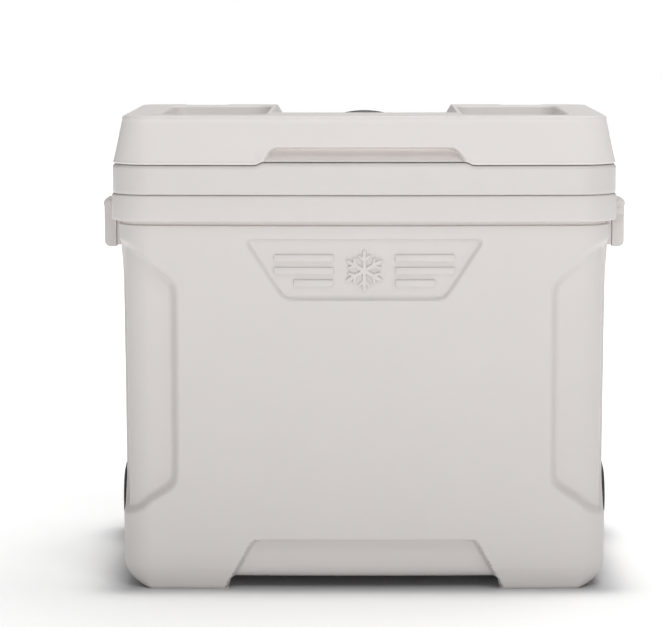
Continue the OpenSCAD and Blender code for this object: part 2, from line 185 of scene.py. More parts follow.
def soft_inside(distances, soft, corner=2.5):
    """1 well inside all the edges whose signed distances are given, 0 outside, with rounded corners."""
    top = max(distances)
    d = top + corner * math.log(sum(math.exp((v - top) / corner) for v in distances))
    return 1 - ease(d, -soft, 0)


def stations(low, high, coarse, fine, zones=()):
    """Places from low to high, a fine step apart inside the zones and a coarse one elsewhere."""
    places = [low]
    while places[-1] < high - fine * 0.5:
        here = places[-1]
        close = any(a - fine <= here < b for a, b in zones)
        ahead = [a for a, b in zones if a > here]
        step = fine if close else min([coarse] + [max(fine, a - here) for a in ahead])
        places.append(min(high, here + step))
    places[-1] = high
    return places


def round_plan(half, front, back, radius, across, along, turn=10):
    """Columns round a rectangle with round corners: place and outward normal, counter-clockwise.
    across are the places along X between the corners, along those along Y."""
    columns = []

    def corner(cx, cy, start):
        for i in range(1, turn):
            a = math.radians(start + 90 * i / turn)
            n = (math.cos(a), math.sin(a))
            columns.append((cx + radius * n[0], cy + radius * n[1], *n))

    columns += [(x, front, 0, -1) for x in across]
    corner(half - radius, front + radius, -90)
    columns += [(half, y, 1, 0) for y in along]
    corner(half - radius, back - radius, 0)
    columns += [(x, back, 0, 1) for x in reversed(across)]
    corner(-half + radius, back - radius, 90)
    columns += [(-half, y, -1, 0) for y in reversed(along)]
    corner(-half + radius, front + radius, 180)
    return columns


def rim_columns(zones_x=(), zones_y=(), coarse=9, fine=2):
    """Columns round the cooler's rim, closer together in the zones on each side of the middle."""
    flat = RIM_HALF - CORNER
    both = [(-b, -a) for a, b in zones_x] + list(zones_x)
    sides = [(MIDDLE - b, MIDDLE - a) for a, b in zones_y] + [(MIDDLE + a, MIDDLE + b) for a, b in zones_y]
    across = stations(-flat, flat, coarse, fine, sorted(both))
    along = stations(FRONT + CORNER, REAR - CORNER, coarse, fine, sorted(sides))
    return round_plan(RIM_HALF, FRONT, REAR, CORNER, across, along)


def moulding(name, columns, rows, shape=None, bow=BOW):
    """A closed shell swept up the rows round the columns. A row is its height and how far it stands
    in from the columns at the side, the front and the back. shape(column, row) may add a depth."""
    deselect()
    wide, tall = len(columns), len(rows)
    bpy.ops.mesh.primitive_grid_add(x_subdivisions=wide, y_subdivisions=tall - 1, size=2)
    piece = named(name)
    for vertex in piece.data.vertices:
        i = round((vertex.co.x + 1) / 2 * wide) % wide
        j = round((vertex.co.y + 1) / 2 * (tall - 1))
        x, y, nx, ny = columns[i]
        z, side, front, back = rows[j]
        deep, lift = shape(columns[i], rows[j]) if shape else ((0, 0), 0)
        x -= nx * (side + deep[0])
        y -= ny * ((front if ny < 0 else back) + deep[1])
        y += bow * (x / RIM_HALF) ** 2 * ease(MIDDLE - y, 0, BOW_REACH)
        vertex.co = Vector((x, y, z + lift)) * MM
    edit(piece)
    bpy.ops.mesh.select_all(action="SELECT")
    bpy.ops.mesh.remove_doubles(threshold=0.000005)
    bpy.ops.mesh.select_all(action="DESELECT")
    bpy.ops.mesh.select_mode(type="EDGE")
    bpy.ops.mesh.select_non_manifold(extend=False)
    bpy.ops.mesh.fill_holes(sides=0)
    bpy.ops.mesh.select_all(action="SELECT")
    bpy.ops.mesh.normals_make_consistent(inside=False)
    stop_editing()
    return piece


def same(z, inset):
    """A row that stands in by the same amount all round."""
    return (z, inset, inset, inset)


def turned(z, inset, radius, start, end, steps=5):
    """Rows round an edge: the arc's middle is at (inset, z), and angles go from outward, 0, to up, 90."""
    rows = []
    for i in range(steps + 1):
        a = math.radians(start + (end - start) * i / steps)
        rows.append(same(z + radius * math.sin(a), inset - radius * math.cos(a)))
    return rows


# ------------------------------------------------------------------ materials


def linear(code):
    """An sRGB hex colour as the linear one that a shader takes."""
    values = [int(code[i:i + 2], 16) / 255 for i in (0, 2, 4)]
    return [v / 12.92 if v <= 0.04045 else ((v + 0.055) / 1.055) ** 2.4 for v in values] + [1]


# Where a colour Mix node has its two colours and its result.
MIX_A, MIX_B, MIX_RESULT = 6, 7, 2


def add(tree, kind, settings=None, **links):
    """Adds one node, with its settings, and links or sets its inputs by name: spaces as _, and a 1
    after the name for the second input of that name."""
    node = tree.nodes.new("ShaderNode" + kind)
    for key, value in (settings or {}).items():
        setattr(node, key, value)
    for key, value in links.items():
        found = [s for s in node.inputs if s.name.replace(" ", "_") == key.rstrip("0123456789")]
        index = int(key[len(key.rstrip("0123456789")):] or 0)
        socket = found[index] if index < len(found) else found[0]
        if isinstance(value, bpy.types.NodeSocket):
            tree.links.new(value, socket)
        else:
            socket.default_value = value
    return node


def new_material(name):
    """A new material, its node tree, its shader, and the place on the object that patterns follow."""
    material = bpy.data.materials.new(name)
    material.use_nodes = True
    tree = material.node_tree
    return material, tree, tree.nodes["Principled BSDF"], add(tree, "TexCoord").outputs["Object"]


def moulded_plastic(name, base, deep, roughness, grain_mm, grain_depth, mottle=0.35):
    """A plastic from a textured mould: a matt pebbled skin, colour that drifts a little where the
    melt flowed, and a sheen that is a little uneven. The pebbles are drawn coarser than a real
    mould's, which would be too fine to show."""
    material, tree, shader, place = new_material(name)
    drift = add(tree, "TexNoise", Vector=place, Scale=1 / (60 * MM), Detail=3.0, Roughness=0.5)
    grime = add(tree, "TexNoise", Vector=place, Scale=1 / (9 * MM), Detail=4.0, Roughness=0.6)
    amount = add(tree, "Math", {"operation": "MULTIPLY"}, Value=drift.outputs["Fac"], Value1=mottle)
    mix = add(tree, "Mix", {"data_type": "RGBA"}, Factor=amount.outputs[0])
    mix.inputs[MIX_A].default_value = linear(base)
    mix.inputs[MIX_B].default_value = linear(deep)
    tree.links.new(mix.outputs[MIX_RESULT], shader.inputs["Base Color"])
    rough = add(tree, "MapRange", Value=grime.outputs["Fac"], From_Min=0.3, From_Max=0.7,
                To_Min=roughness - 0.05, To_Max=roughness + 0.06)
    tree.links.new(rough.outputs["Result"], shader.inputs["Roughness"])
    pebble = add(tree, "TexVoronoi", {"feature": "SMOOTH_F1"}, Vector=place, Scale=1 / (grain_mm * MM),
                 Smoothness=0.6)
    bump = add(tree, "Bump", Height=pebble.outputs["Distance"], Strength=0.35,
               Distance=grain_depth * MM)
    tree.links.new(bump.outputs["Normal"], shader.inputs["Normal"])
    shader.inputs["IOR"].default_value = 1.5
    return material


def drawn_metal(name, base, roughness, stretch):
    """Metal with fine lines along one axis, as drawn tube and rod have: stretch marks that axis."""
    material, tree, shader, place = new_material(name)
    size = [1 / (0.6 * MM) if not axis else 1 / (25 * MM) for axis in stretch]
    mapping = add(tree, "Mapping", Vector=place, Scale=size)
    lines = add(tree, "TexNoise", Vector=mapping.outputs["Vector"], Scale=1.0, Detail=3.0)
    rough = add(tree, "MapRange", Value=lines.outputs["Fac"], From_Min=0.3, From_Max=0.7,
                To_Min=roughness - 0.08, To_Max=roughness + 0.1)
    tree.links.new(rough.outputs["Result"], shader.inputs["Roughness"])
    bump = add(tree, "Bump", Height=lines.outputs["Fac"], Strength=0.2, Distance=0.02 * MM)
    tree.links.new(bump.outputs["Normal"], shader.inputs["Normal"])
    shader.inputs["Base Color"].default_value = linear(base)
    shader.inputs["Metallic"].default_value = 1
    return material


# Moulded polyethylene: a waxy off-white with a soft, wide highlight.
white_polyethylene = moulded_plastic("white_polyethylene", "d4cfcc", "ccc7c4", 0.46, 0.9, 0.03)
# The lid's polyethylene: the same skin, painted a shade lighter to stand in for the extra light that its
# back-leaning face catches.
white_lid_plastic = moulded_plastic("white_lid_plastic", "e0dbd8", "d8d3d0", 0.44, 0.9, 0.03)
# Smoother moulded plastic for the liner, the lid's pan and the axle brackets: a closer highlight
# and almost no pebbles.
white_liner_plastic = moulded_plastic("white_liner_plastic", "d1ccc9", "c9c5c2", 0.34, 1.2, 0.012)
# Nylon of the grip, the hubs and the collars: charcoal, with a dull satin gleam along its edges.
black_nylon = moulded_plastic("black_nylon", "26262a", "1c1c1f", 0.45, 0.8, 0.04)
# The same nylon dyed grey, so that the button stands out from the grip.
grey_nylon = moulded_plastic("grey_nylon", "55565a", "4a4b4f", 0.42, 0.8, 0.03)
# Solid rubber tyre: dull near-black with hardly any highlight.
wheel_rubber = moulded_plastic("wheel_rubber", "19191b", "121214", 0.68, 1.6, 0.05)
# Polyurethane foam: pale yellow, rough and pitted. It is inside the walls, so it isn't seen.
polyurethane_foam = moulded_plastic("polyurethane_foam", "e6dcae", "d8cb94", 0.85, 2.2, 0.3)
# Drawn aluminium tube: a satin silver with streaks along its length.
drawn_aluminium = drawn_metal("drawn_aluminium", "c9cacc", 0.32, (0, 0, 1))
# Zinc-plated steel rod and fastenings: a plain grey gleam with fine lines.
zinc_steel = drawn_metal("zinc_steel", "b9babb", 0.3, (1, 0, 0))


def give(piece, material):
    """Makes this the piece's only material."""
    piece.data.materials.clear()
    piece.data.materials.append(material)


# ------------------------------------------------------------------ body shell

# The corner recesses: where they start on the front and the side, their heights and depths, and
# how far their ends are from level. The front and side slopes are rises per millimetre, each with
# the length that makes its distance square to the edge.
RECESS_X, RECESS_Y = 163, 75
RECESS_LOW, RECESS_HIGH = 64, 310
RECESS_FRONT, RECESS_SIDE = 8.5, 5.2
RECESS_SOFT, RECESS_ROUND = 7.5, 3
TOP_START, FOOT_START = RECESS_HIGH - 36, RECESS_LOW + 28
TOP_FRONT, TOP_FRONT_LENGTH = 0.75, 1.25
TOP_SIDE, TOP_SIDE_LENGTH = 1.29, 1.63
FOOT_FRONT, FOOT_FRONT_LENGTH = 0.62, 1.18
FOOT_SIDE_LENGTH = 1.41
# The plaque, narrower below, and the panel between the feet, narrower above.
PLAQUE_DEPTH = 3
PLAQUE_LOW, PLAQUE_HIGH = 257, 311
PLAQUE_LOW_HALF, PLAQUE_HIGH_HALF = 71, 106
TOP_CRISP = 1.7
PANEL_LOW, PANEL_TOP, PANEL_DEPTH = -45, 45, 7.5
PANEL_LOW_HALF, PANEL_HIGH_HALF = 149, 99
PANEL_LIP = 6
# The feet, the gap under the body between them, and the chamfer and round edge under the walls.
GROUND_GAP = 10
FOOT_X, FOOT_SLOPE = 124, 6
SIDE_ROUND = 24
CHAMFER_TOP = 19
WHEEL_ROOM = 6


def wall_inset(z):
    """How far the body's wall stands in from the rim at a height: side, front and back."""
    down = 1 - z / RIM_TOP
    foot = 1 - ease(z, 24, 78)
    return OVERHANG + 3 * down, OVERHANG + 3 * down - 3 * foot, OVERHANG + 2 * down


def corner_recess(x, y, z):
    """How far inside a corner's recess a place is, from 0 to 1."""
    ax, ay = abs(x), abs(y - MIDDLE)
    up_x = (z - (TOP_START + (ax - RECESS_X) * TOP_FRONT)) / TOP_FRONT_LENGTH
    up_y = (z - (TOP_START + (ay - RECESS_Y) * TOP_SIDE)) / TOP_SIDE_LENGTH
    low_x = (FOOT_START - (ax - RECESS_X) * FOOT_FRONT - z) / FOOT_FRONT_LENGTH
    low_y = (FOOT_START - (ay - RECESS_Y) - z) / FOOT_SIDE_LENGTH
    return soft_inside([RECESS_X - ax, RECESS_Y - ay, up_x, up_y, low_x, low_y,
                        z - RECESS_HIGH, RECESS_LOW - z], RECESS_SOFT, RECESS_ROUND)


def slanted(x, z, low, high, low_half, high_half, soft):
    """How far inside a trapezium on the front a place is, from 0 to 1."""
    slope = (high_half - low_half) / (high - low)
    edge = (abs(x) - (low_half + (z - low) * slope)) / math.hypot(1, slope)
    return soft_inside([edge, (z - high) * TOP_CRISP, low - z], soft)


def body_relief(column, row):
    """What is sunk into the walls: the corner recesses, the front plaque and the panel at the foot."""
    x, y, nx, ny = column
    z = row[0]
    if z > RECESS_HIGH + 5 or row[1] > 28:
        return (0, 0), 0
    recess = corner_recess(x, y, z)
    side, front = RECESS_SIDE * recess, RECESS_FRONT * recess
    if ny < 0:
        front += PLAQUE_DEPTH * slanted(x, z, PLAQUE_LOW, PLAQUE_HIGH,
                                        PLAQUE_LOW_HALF, PLAQUE_HIGH_HALF, 2.2)
        panel = slanted(x, z, PANEL_LOW, PANEL_TOP, PANEL_LOW_HALF, PANEL_HIGH_HALF, 3.5)
        low = max(0, min(PANEL_LIP, GROUND_GAP + PANEL_LIP - z))
        front += panel * (PANEL_DEPTH + PANEL_LIP - math.sqrt(PANEL_LIP ** 2 - low ** 2))
    return (side, front), 0


def body_rows():
    """The wall's rows from the floor up: a round side edge and a chamfer under the feet, the wall,
    a shadow groove, the rim's round underside and top, then the pocket that the liner sits in."""
    rows = []
    for z in (0, 0.5, 1.5, 3, 5, 7.5, 10, 11.5, 13, 15, 17, 19, 20, 23):
        side, front, back = wall_inset(z)
        under = SIDE_ROUND - math.sqrt(SIDE_ROUND ** 2 - (SIDE_ROUND - z) ** 2)
        chamfer = max(0, CHAMFER_TOP - z) * 0.14 + max(0, 1.5 - z) * 0.6
        rows.append((z, min(side + under, CORNER - 1), front + chamfer, back + chamfer))
    zones = [(26, 104), (250, RIM_BOTTOM - 6)]
    for z in stations(26, RIM_BOTTOM - 3, 12, 1.7, zones):
        rows.append((z, *wall_inset(z)))
    groove = OVERHANG + 3
    rows += [same(RIM_BOTTOM - 1.8, groove), same(RIM_BOTTOM + 0.6, groove)]
    rows += [same(RIM_BOTTOM + 1, groove - 0.4)]
    rows += turned(RIM_BOTTOM + 2.6, 1.6, 1.6, -90, 0)
    rows += turned(RIM_TOP - 2, 2, 2, 0, 90)
    rows += [same(RIM_TOP, WALL - 4), same(INSIDE_FLOOR - 4, WALL + 2)]
    return rows


def wheel_room(side):
    """The room for a wheel: an arch over it, open behind and below."""
    low, high = span("wheel_hub_right", 0)
    wheel_y, wheel_z = hinge("wheel_right_spin")[1:]
    radius = span("tyre_right", 2)[1] - wheel_z + WHEEL_ROOM
    inner, outer = low - WHEEL_ROOM, RIM_HALF + 60
    place = (side * (inner + outer) / 2 * MM, wheel_y * MM, wheel_z * MM)
    deselect()
    bpy.ops.mesh.primitive_cylinder_add(vertices=96, radius=radius * MM, depth=(outer - inner) * MM,
                                        location=place, rotation=(0, math.pi / 2, 0))
    room = named("wheel_room")
    across = (side * inner, side * outer)
    below = box("below", across, (wheel_y - radius, wheel_y + 100), (-20, wheel_z))
    behind = box("behind", across, (wheel_y, wheel_y + 100), (-20, wheel_z + radius))
    for extra in (below, behind):
        combine(room, extra, "UNION")
    return room


def make_body():
    """The outer shell with its foam: a swept wall with room cut for the wheels, axle and feet."""
    columns = rim_columns(zones_x=[(66, 128), (150, 188.5)], zones_y=[(62, 116)], coarse=9, fine=1.6)
    body = moulding("body_shell", columns, body_rows(), body_relief)
    for side in (-1, 1):
        cut(body, wheel_room(side))
    wheel_y, wheel_z = hinge("wheel_right_spin")[1:]
    reach = span("wheel_hub_right", 0)[0]
    cut(body, box("axle_channel", (-reach, reach), (wheel_y - 9, wheel_y + 90), (-20, wheel_z + 9)))
    cut(body, box("under_back", (-300, 300), (-90, 300), (-20, GROUND_GAP)))
    gap = box("between_feet", (-FOOT_X, FOOT_X), (-300, 300), (-20, GROUND_GAP))
    edit(gap)
    pick(gap, "vertices", lambda p: p.z > 0)
    bpy.ops.transform.resize(value=((FOOT_X - FOOT_SLOPE) / FOOT_X, 1, 1), center_override=(0, 0, 0))
    stop_editing()
    cut(body, gap)
    smooth(body, 35)
    give(body, white_polyethylene)
    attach(body, "cooler_body")
    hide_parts("outer_shell", "body_foam")


EMBLEM_Z = 283
EMBLEM_SUNK, EMBLEM_PROUD = 1.2, 2.0


def emblem_bar(x, z, slant=0, arm=0):
    """A raised bar on the plaque, turned by slant about its inner end, then by arm about the middle."""
    bar = box("bar", x, (-EMBLEM_PROUD, EMBLEM_SUNK), z, 0.7, 2)
    edit(bar)
    bpy.ops.mesh.select_all(action="SELECT")
    for turn, about in ((slant, x[0]), (arm, 0)):
        bpy.ops.transform.rotate(value=math.radians(turn), orient_axis="Y",
                                 center_override=(about * MM, 0, 0))
    stop_editing()
    return bar


def make_emblem():
    """A plain snowflake between tapering bars, moulded proud of the plaque: it only says cold."""
    emblem = emblem_bar((-3, 3), (-3, 3))
    for arm in range(0, 360, 60):
        for x, thick, slant in (((0, 18), 1.7, 0), ((9, 16), 1.4, 50), ((9, 16), 1.4, -50)):
            combine(emblem, emblem_bar(x, (-thick, thick), slant, arm + 30), "UNION")
    for side in (-1, 1):
        for z, end in ((-11, 62), (0, 79), (11, 79)):
            combine(emblem, emblem_bar(sorted((side * 27, side * end)), (z - 3, z + 3)), "UNION")
    emblem.name = emblem.data.name = "plaque_emblem"
    face = FRONT + wall_inset(EMBLEM_Z)[1] + PLAQUE_DEPTH
    for vertex in emblem.data.vertices:
        bow = BOW * (vertex.co.x / MM / RIM_HALF) ** 2
        vertex.co += Vector((0, face + bow, EMBLEM_Z)) * MM
    smooth(emblem, 40)
    give(emblem, white_polyethylene)
    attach(emblem, "cooler_body")


# ------------------------------------------------------------------ liner

PULL_HALF = 89
PULL_TOP_HALF = 80
PULL_TOP = 391
PULL_LIFT = 2.4


def pull_lift(x, ny):
    """The seam between lid and band steps up a little under the front pull."""
    return PULL_LIFT * (1 - ease(abs(x), PULL_HALF, PULL_HALF + 6)) if ny < -0.5 else 0


def make_liner():
    """The inner liner, with the band that shows between the rim and the lid."""
    columns = rim_columns(zones_x=[(86, 98)], coarse=10, fine=2)
    band = 0.9

    def lip(column, row):
        """Lifts the band's top edge under the front pull."""
        near_top = ease(row[0], BAND_TOP - 8, BAND_TOP - 3)
        outside = 1 - ease(row[1], 8, 14)
        return (0, 0), pull_lift(column[0], column[3]) * near_top * outside

    rows = [same(INSIDE_FLOOR - 3, WALL + 20), same(INSIDE_FLOOR - 3, WALL + 3.5),
            same(RIM_TOP + 0.3, WALL - 3), same(RIM_TOP + 0.3, band + 1.4)]
    rows += turned(RIM_TOP + 1.5, band + 1.2, 1.2, -90, 0, 3)
    rows += [same(z, band) for z in stations(RIM_TOP + 4, BAND_TOP - 4, 6, 3)]
    rows += turned(BAND_TOP - 3, band + 3, 3, 0, 90)
    rows += [same(BAND_TOP, band + 10), same(BAND_TOP, band + 20)]
    rows += turned(BAND_TOP - 3, WALL - 3, 3, 90, 180)
    inside = stations(INSIDE_FLOOR + 18, BAND_TOP - 8, 30, 20)[::-1]
    rows += [same(z, WALL + (BAND_TOP - z) / 55) for z in inside]
    rows += turned(INSIDE_FLOOR + 14, WALL + 20, 14, 180, 270, 6)
    liner = moulding("liner", columns, rows, lip)
    smooth(liner, 50)
    give(liner, white_liner_plastic)
    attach(liner, "cooler_body")
    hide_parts("inner_liner")


# ------------------------------------------------------------------ lid

LID_IN = 1.2
LID_LEAN = 9.4
LID_EDGE = 3
PULL_DEPTH = 12.5
TRAY_IN, TRAY_OUT = 88, 180
TRAY_DEPTH = 16
TRAY_SLOPE = 7
WELL_RADIUS = 37
WELL_DEPTH = 8
NOTCH_HALF, NOTCH_FLARE = 74, 10
VALLEY_FLOOR = LID_TOP - 20


def lid_back(z):
    """How far the lid's rounded back edge stands in from the rim's back, at a height."""
    radius = REAR - HINGE_Y
    up = max(-1, min(1, (z - HINGE_Z) / radius))
    return radius - radius * math.sqrt(1 - up * up)


def pull_relief(column, row):
    """The front pull: a scoop in the lid's front edge, deep above and shallow below."""
    x, y, nx, ny = column
    z, side = row[0], row[1]
    if ny > -0.5 or side > 20:
        return (0, 0), 0
    inside = slanted(x, z, LID_BOTTOM - 12, PULL_TOP, PULL_HALF + 8, PULL_TOP_HALF, 3)
    down = max(0, min(1, (PULL_TOP - 3 - z) / (PULL_TOP - 3 - LID_BOTTOM)))
    depth = PULL_DEPTH - 9 * down ** 1.2
    lift = pull_lift(x, ny) * (1 - ease(z, LID_BOTTOM, PULL_TOP))
    return (0, inside * depth), lift


def lid_rows():
    """The lid's rows: its underside, leaning wall, rounded top edge and top."""
    rows = [same(LID_BOTTOM + 0.8, 30), same(LID_BOTTOM + 0.4, LID_IN + 4)]
    rows += turned(LID_BOTTOM + 1.6, LID_IN + 1.6, 1.6, -90, 0, 3)
    for z in stations(LID_BOTTOM + 3, LID_TOP - LID_EDGE - 1, 3, 1.4, [(LID_BOTTOM, PULL_TOP + 3)]):
        rows.append(same(z, LID_IN + LID_LEAN * (z - LID_BOTTOM) / (LID_TOP - LID_BOTTOM)))
    rows += turned(LID_TOP - LID_EDGE, LID_IN + LID_LEAN + LID_EDGE - 1, LID_EDGE, 12, 90, 6)
    rows += [same(LID_TOP, 24), same(LID_TOP, 34)]
    rows = [(z, side, front, lid_back(z)) for z, side, front, _ in rows]
    for row, back in ((0, 32), (1, 26), (-2, 24), (-1, 30)):
        rows[row] = (*rows[row][:3], back)
    return rows


def recess_cutter(name, x, y, floor, radius, draft=1.2, flare=2.5, bottom=5):
    """A cutter for a tray: a round bottom edge, leaning walls, a sloped back and an eased top edge."""
    across = stations(x[0] + radius, x[1] - radius, 12, 12)
    middle = (x[0] + x[1]) / 2
    half = (x[1] - x[0]) / 2
    across = [a - middle for a in across]
    along = stations(y[0] + radius, y[1] - radius, 12, 12)
    columns = round_plan(half, y[0], y[1], radius, across, along, turn=10)
    rows = [same(floor, bottom + 4)]
    for i in range(6):
        a = math.radians(15 * (i + 1))
        rows.append(same(floor + bottom * (1 - math.cos(a)), draft + bottom * (1 - math.sin(a))))
    for i in range(6):
        a = math.radians(14 * i)
        rows.append(same(LID_TOP - flare + flare * math.sin(a), -flare * (1 - math.cos(a))))
    rows.append(same(LID_TOP + 6, -flare - 1))
    rows = [(z, side, front, back + TRAY_SLOPE * max(0, LID_TOP - z) / TRAY_DEPTH)
            for z, side, front, back in rows]
    cutter = moulding(name, columns, rows, bow=0)
    active(cutter)
    bpy.ops.transform.translate(value=(middle * MM, 0, 0))
    bpy.ops.object.transform_apply(location=True, rotation=True, scale=True)
    return cutter


def well_cutter(x, y):
    """A cup well: a round cutter with an eased bottom edge."""
    floor = LID_TOP - TRAY_DEPTH - WELL_DEPTH
    deselect()
    bpy.ops.mesh.primitive_cylinder_add(vertices=72, radius=WELL_RADIUS * MM, depth=40 * MM,
                                        location=(x * MM, y * MM, (floor + 20) * MM))
    well = named("well")
    edit(well)
    pick(well, "edges", lambda a, b: a.z < floor + 1 and b.z < floor + 1)
    bpy.ops.mesh.bevel(offset=4 * MM, segments=4, affect="EDGES")
    stop_editing()
    return well


def notch_prism(name, y, z):
    """A cutter as wide as the notch, straight up to the valley's floor and flared from there up."""
    room = box(name, (-NOTCH_HALF, NOTCH_HALF), y, (z, LID_TOP - 18))
    edit(room)
    pick(room, "polygons", lambda p, n: n.z > 0.9)
    bpy.ops.mesh.extrude_region_move(TRANSFORM_OT_translate={"value": (0, 0, 19 * MM)})
    wider = (NOTCH_HALF + NOTCH_FLARE) / NOTCH_HALF
    bpy.ops.transform.resize(value=(wider, 1, 1), center_override=(0, 0, 0))
    return room


def valley_cutter():
    """The valley that a hand follows to the tow grip: its floor starts with a slope."""
    front = FRONT + 92
    valley = notch_prism("valley", (front, REAR + 60), VALLEY_FLOOR)
    pick(valley, "vertices", lambda p: p.z < LID_TOP - 10 and p.y < front + 1)
    bpy.ops.transform.translate(value=(0, 30 * MM, 0))
    stop_editing()
    return valley


def notch_cutter():
    """The notch round the tow grip."""
    front = HINGE_Y - 14
    notch = notch_prism("notch", (front, REAR + 60), 300)
    pick(notch, "edges", lambda a, b: a.y < front + 1 and b.y < front + 1 and abs(a.x - b.x) < 15)
    bpy.ops.mesh.bevel(offset=5 * MM, segments=4, affect="EDGES")
    stop_editing()
    return notch


def make_lid():
    """The lid with its foam: trays, cup wells, the valley and notch for the tow grip, hinge slots."""
    columns = rim_columns(zones_x=[(74, 98)], coarse=10, fine=1.6)
    lid = moulding("lid_cover", columns, lid_rows(), pull_relief)
    tray_front, tray_back = FRONT + 48, HINGE_Y - 32
    for side in (-1, 1):
        x = sorted((side * TRAY_IN, side * TRAY_OUT))
        cut(lid, recess_cutter("tray", x, (tray_front, tray_back), LID_TOP - TRAY_DEPTH, 14))
        for y in (tray_front + WELL_RADIUS + 8, tray_back - WELL_RADIUS - 8):
            cut(lid, well_cutter(side * (TRAY_IN + TRAY_OUT) / 2, y))
    cut(lid, valley_cutter())
    cut(lid, notch_cutter())
    low, high = span("hinge_bracket_right", 0)
    for side in (-1, 1):
        slot = sorted((side * (low - 1.5), side * (high + 1.5)))
        cut(lid, box("hinge_slot", slot, (HINGE_Y - 14, REAR + 60), (300, 500), 2))
    modify(lid, "BEVEL", width=1.4 * MM, segments=3, limit_method="ANGLE", angle_limit=math.radians(50),
           use_clamp_overlap=True)
    smooth(lid, 35)
    # painted light: the lid takes the lighter copy of the body's plastic
    give(lid, white_lid_plastic)
    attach(lid, "lid")
    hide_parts("lid_shell", "lid_foam")


# ------------------------------------------------------------------ pieces from the frame's own shapes


def eased(node, material, width, name=None, angle=30):
    """A frame piece with its sharp edges rounded: merged, its flats made single faces, and bevelled."""
    source = frame["nodes"][node]
    deselect()
    piece = bpy.data.objects.new(name or node + "_eased", source.data.copy())
    bpy.context.collection.objects.link(piece)
    piece.data.name = piece.name
    edit(piece)
    bpy.ops.mesh.select_all(action="SELECT")
    bpy.ops.mesh.remove_doubles(threshold=0.00001)
    bpy.ops.mesh.dissolve_limited(angle_limit=math.radians(1))
    bpy.ops.mesh.normals_make_consistent(inside=False)
    stop_editing()
    modify(piece, "BEVEL", width=width * MM, segments=3, limit_method="ANGLE",
           angle_limit=math.radians(angle), use_clamp_overlap=True)
    smooth(piece, 40)
    give(piece, material)
    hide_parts(node)
    return piece


def make_hardware():
    """The hinge and axle brackets, the side handles' mounts, the tubes' collars and the axle's nuts:
    the frame's own shapes with eased edges."""
    for side in ("left", "right"):
        for node, material, slot, width, body in (
                ("hinge_bracket_", white_polyethylene, "shell_white", 1.2, "cooler_body"),
                ("axle_bracket_", white_liner_plastic, "liner_white", 1.0, "cooler_body"),
                ("bail_mount_", white_polyethylene, "shell_white", 1.1, "cooler_body"),
                ("mid_collar_", black_nylon, "black_plastic", 1.0, "handle_stage_1"),
                ("axle_nut_", zinc_steel, "pin_steel", 0.5, "cooler_body")):
            piece = eased(node + side, material, width)
            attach(piece, body)


def make_lid_pan():
    """The pan under the lid: the frame's own shape with rounded edges."""
    pan = eased("lid_liner", white_liner_plastic, 2.0, "lid_pan", 50)
    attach(pan, "lid")


def make_tow_housing():
    """The sleeve box behind the cooler, with rounded edges and three fine grooves down each sleeve."""
    housing = eased("handle_housing", white_polyethylene, 1.8, "tow_housing", 50)
    back = span("handle_housing", 1)[1]
    low, high = span("handle_housing", 2)
    tube = (span("outer_tube_right", 0)[0] + span("outer_tube_right", 0)[1]) / 2
    for side in (-1, 1):
        for shift in (-6, 0, 6):
            x = side * tube + shift
            cut(housing, box("groove", (x - 1.1, x + 1.1), (back - 0.9, back + 5),
                             (low + 40, high - 40), 0.8))
    smooth(housing, 40)
    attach(housing, "cooler_body")


# The grip's section, the radius and half angle of its arch, and how far it sits below the frame's grip.
GRIP_THICK, GRIP_SOFT = 27, 8.5
ARCH_RADIUS, ARCH_HALF_ANGLE = 85, 47
GRIP_DROP = 2


